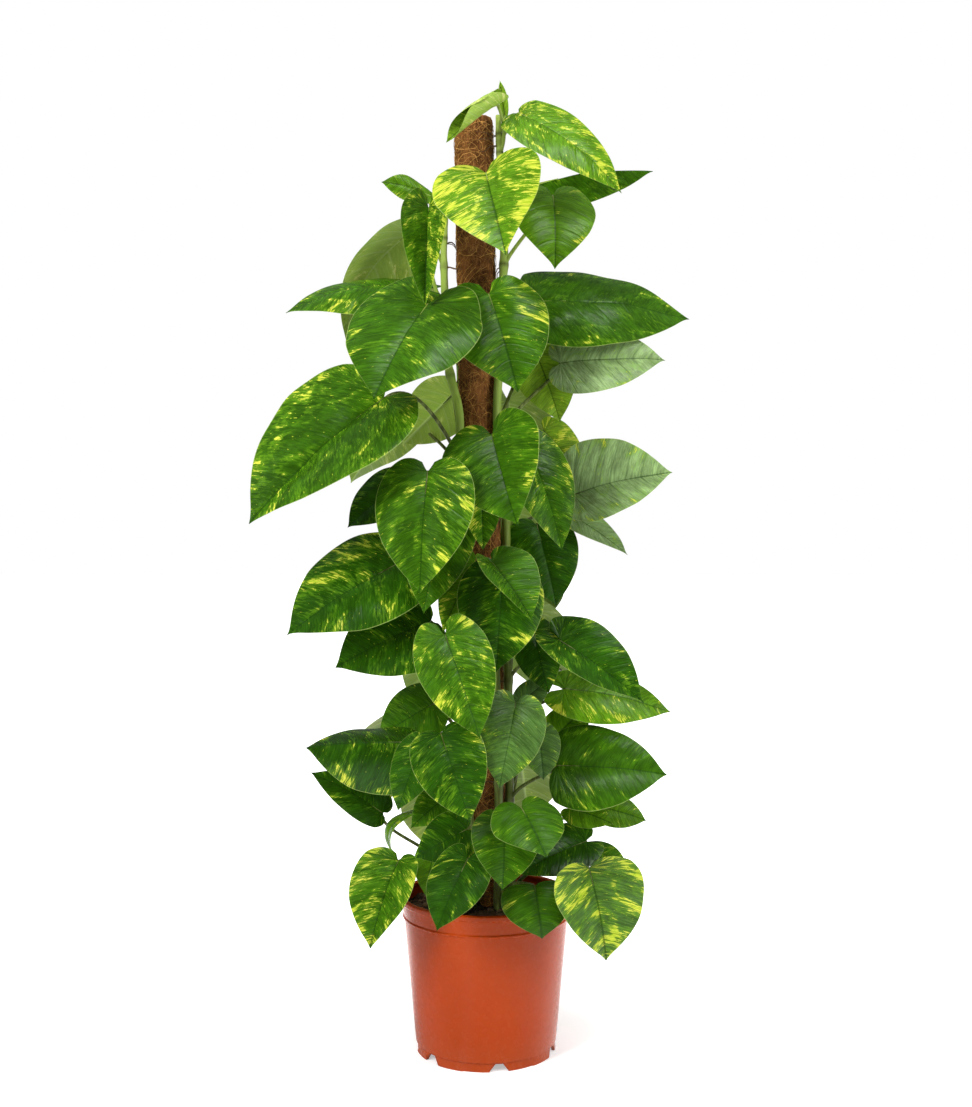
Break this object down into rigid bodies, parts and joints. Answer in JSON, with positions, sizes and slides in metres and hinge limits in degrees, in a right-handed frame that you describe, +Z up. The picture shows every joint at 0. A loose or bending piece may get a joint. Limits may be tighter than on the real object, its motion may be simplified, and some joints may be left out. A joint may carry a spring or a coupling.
{
  "type": "potted pothos plant",
  "caption": "Potted golden pothos whose leafy vines climb a coir pole, standing in a round tapered nursery pot filled with potting soil.",
  "frame": {"origin": "on the ground under the centre of the pot, which is also the bottom centre of the whole plant's bounding box", "axes": "+Z up along the pot's axis, -Y towards the front, +X to the viewer's right"},
  "size_m": [0.4711, 0.3445, 1.0501],
  "materials": {
    "pot_plastic": "satin",
    "soil": "matte",
    "pole_wood": "matte",
    "coir": "matte",
    "foliage": "satin"
  },
  "bodies": {
    "root": {"pot": "pot_plastic", "potting_soil": "soil", "pole_core": "pole_wood", "coir_sleeve": "coir", "vine_left": "foliage", "vine_right": "foliage", "vine_back_left": "foliage", "vine_back_right": "foliage", "vine_front_left": "foliage", "vine_front_right": "foliage"}
  },
  "joints": []
}
